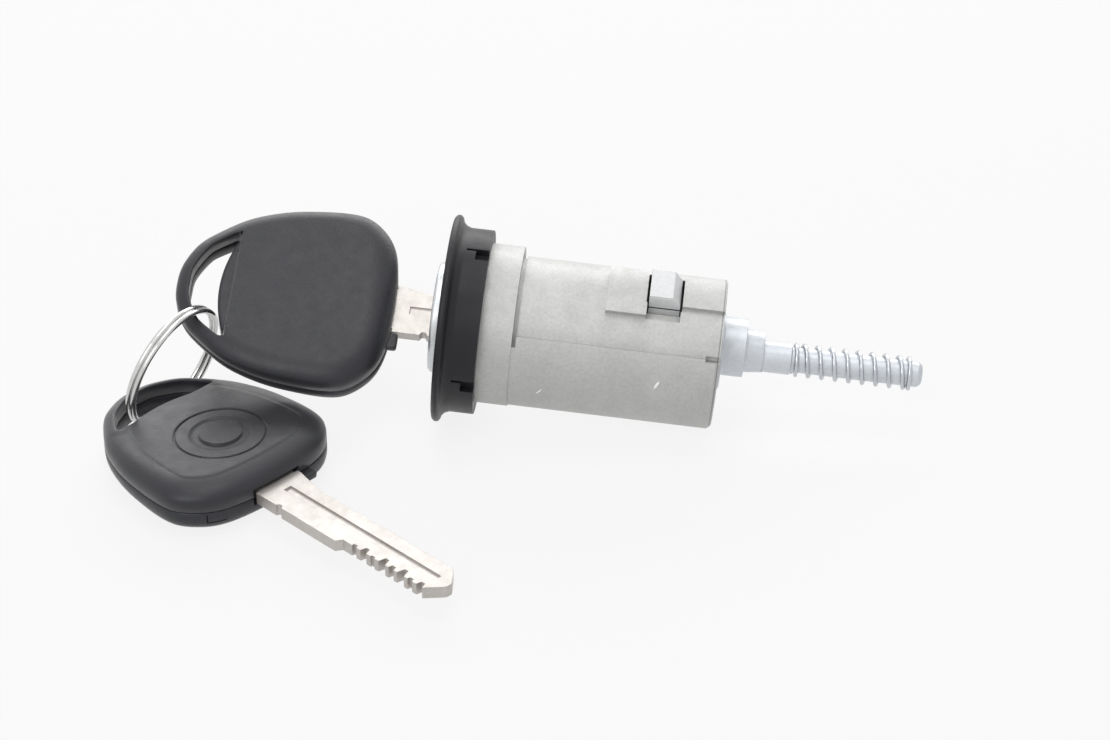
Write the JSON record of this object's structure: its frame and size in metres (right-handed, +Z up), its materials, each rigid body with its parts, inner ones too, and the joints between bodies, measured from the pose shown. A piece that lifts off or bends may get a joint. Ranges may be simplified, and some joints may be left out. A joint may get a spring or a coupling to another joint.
{
  "type": "ignition lock cylinder",
  "caption": "Ignition lock barrel with bezel, turning plug, sprung latch and tail rod, with its key inserted and a spare key on a split ring.",
  "frame": {"origin": "on the barrel axis at the rear face of the bezel, where the locating band begins", "axes": "+X along the barrel axis towards the tail, +Z up, -Y towards the viewer of the picture"},
  "size_m": [0.1602, 0.0918, 0.0459],
  "materials": {
    "cast_zinc": "matt die-cast zinc with fine grain",
    "black_plastic": "fine matt black",
    "latch_steel": "bright worn",
    "spring_steel": "bright wire",
    "plug_zinc": "die-cast",
    "cap_steel": "pressed steel, satin",
    "driver_zinc": "bluish die-cast zinc",
    "ring_steel": "nickel plated",
    "wafer_brass": "stamped",
    "blade_nickel": "nickel plated, satin",
    "chip_resin": "moulded",
    "head_plastic": "fine matt texture"
  },
  "bodies": {
    "housing": {"lock_housing": "cast_zinc", "bezel_ring": "black_plastic", "latch_spring": "spring_steel", "rear_clip": "spring_steel"},
    "latch": {"retaining_latch": "latch_steel"},
    "core": {"plug": "plug_zinc", "plug_cap": "cap_steel", "tail_driver": "driver_zinc", "tail_spring": "spring_steel", "wafer_1": "wafer_brass", "wafer_2": "wafer_brass", "wafer_3": "wafer_brass", "wafer_4": "wafer_brass", "wafer_5": "wafer_brass", "wafer_6": "wafer_brass", "wafer_7": "wafer_brass", "wafer_8": "wafer_brass"},
    "key": {"key_blade": "blade_nickel", "key_front_shell": "head_plastic", "key_back_shell": "head_plastic", "key_transponder": "chip_resin"},
    "ring": {"split_ring": "ring_steel"},
    "spare": {"spare_blade": "blade_nickel", "spare_front_shell": "head_plastic", "spare_back_shell": "head_plastic", "spare_transponder": "chip_resin"}
  },
  "joints": [
    {"name": "key_turn", "type": "hinge", "parent": "housing", "child": "core", "pos_m": [0, 0, 0], "axis": [1, 0, 0], "range_deg": [0, 115]},
    {"name": "key_pull", "type": "slide", "parent": "core", "child": "key", "axis": [-1, 0, 0], "range_m": [0, 0.04]},
    {"name": "latch_press", "type": "slide", "parent": "housing", "child": "latch", "axis": [0, 0.2419, -0.9703], "range_m": [0, 0.0022], "stiffness_N_per_m": 400, "springref_m": -0.001, "deforming": ["latch_spring"]},
    {"name": "ring_swing", "type": "hinge", "parent": "key", "child": "ring", "pos_m": [-0.05491, -0.00434, -0.00242], "axis": [-0.0135, 0.4888, -0.8723], "range_deg": [0, 25]},
    {"name": "spare_swing", "type": "hinge", "parent": "ring", "child": "spare", "pos_m": [-0.06622, -0.01938, -0.02034], "axis": [0.3245, 0.4291, -0.843], "range_deg": [0, 20]}
  ]
}
